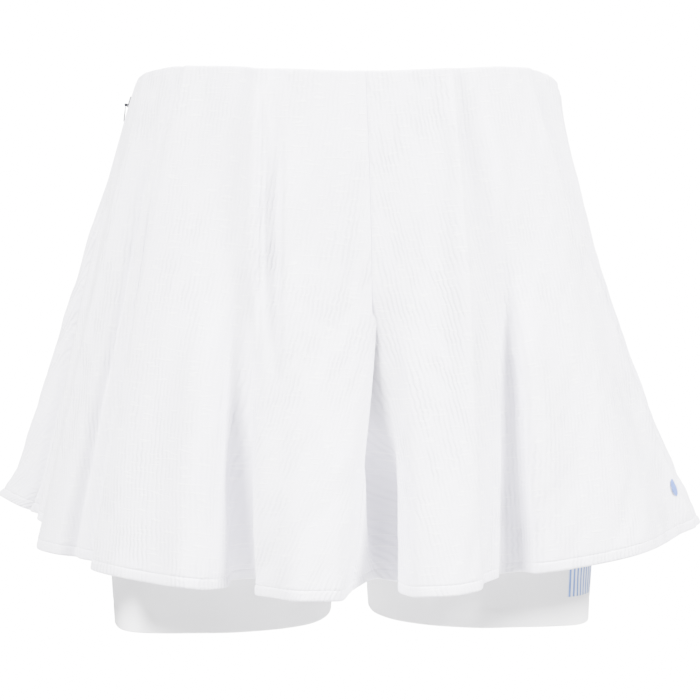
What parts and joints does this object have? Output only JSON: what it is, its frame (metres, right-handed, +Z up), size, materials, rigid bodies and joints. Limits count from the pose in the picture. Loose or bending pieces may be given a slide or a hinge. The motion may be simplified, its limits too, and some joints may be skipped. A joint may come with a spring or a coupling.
{
  "type": "flared skort",
  "caption": "Sports skort: a flared, softly folded skirt over close inner shorts, worn open at waist, hem and legs, with a small zip at the right side.",
  "frame": {"origin": "middle of the waist, at the height of its top edge, where the wearer's body holds the garment", "axes": "+Z up the wearer's body, -Y to the wearer's front, +X to the wearer's left"},
  "size_m": [0.4755, 0.3204, 0.368],
  "materials": {
    "ribbed_jersey": "matt white jersey with fine upright ribs",
    "plain_jersey": "matt white smooth stretch knit",
    "zip_metal": "dark satin metal"
  },
  "bodies": {
    "garment": {"skirt_front_right": "ribbed_jersey", "skirt_front_left": "ribbed_jersey", "skirt_back_right": "ribbed_jersey", "skirt_back_left": "ribbed_jersey", "shorts_front_right": "plain_jersey", "shorts_front_left": "plain_jersey", "shorts_back_right": "plain_jersey", "shorts_back_left": "plain_jersey", "zip_slider": "zip_metal"},
    "pull_tab": {"zip_pull": "zip_metal"}
  },
  "joints": [
    {"name": "pull_tab_hinge", "type": "hinge", "parent": "garment", "child": "pull_tab", "pos_m": [-0.14825, 0.01131, -0.02262], "axis": [0, 1, 0], "range_deg": [0, 150]}
  ]
}
